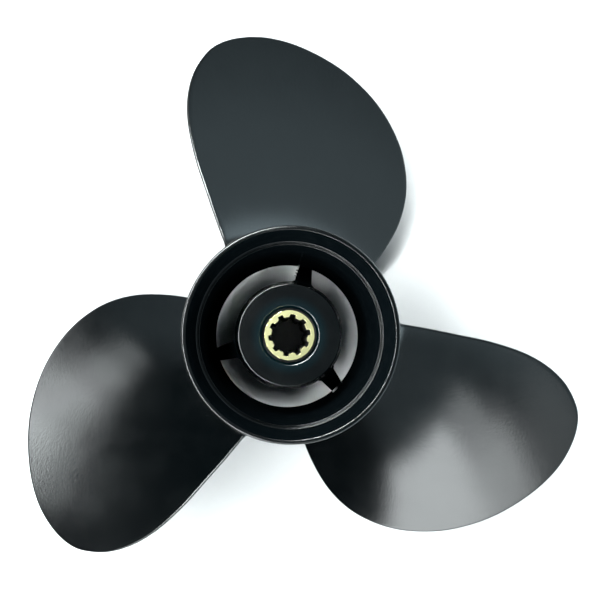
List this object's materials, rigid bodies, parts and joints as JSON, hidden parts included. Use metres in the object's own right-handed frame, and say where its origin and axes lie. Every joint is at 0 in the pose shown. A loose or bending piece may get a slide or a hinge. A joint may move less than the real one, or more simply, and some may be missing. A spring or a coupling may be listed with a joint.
{
  "type": "boat propeller",
  "caption": "Right-hand boat propeller with broad ear-shaped blades on a flared exhaust barrel, and a splined sleeve in a rubber bush.",
  "frame": {"origin": "on the shaft axis, at the centre of the barrel's front rim", "axes": "+Z along the shaft from the gearcase side to the tail, +Y through the root-to-tip line of blade 1"},
  "size_m": [0.2298, 0.2128, 0.095],
  "materials": {
    "painted_casting": "satin black paint over a cast aluminium surface",
    "bush_rubber": "matt moulded black rubber",
    "sleeve_brass": "machined and broached brass, slightly dulled"
  },
  "bodies": {
    "root": {"exhaust_barrel": "painted_casting", "tail_ring": "painted_casting", "inner_hub": "painted_casting", "rib_1": "painted_casting", "rib_2": "painted_casting", "rib_3": "painted_casting", "blade_1": "painted_casting", "blade_2": "painted_casting", "blade_3": "painted_casting", "rubber_bush": "bush_rubber", "spline_sleeve": "sleeve_brass"}
  },
  "joints": []
}
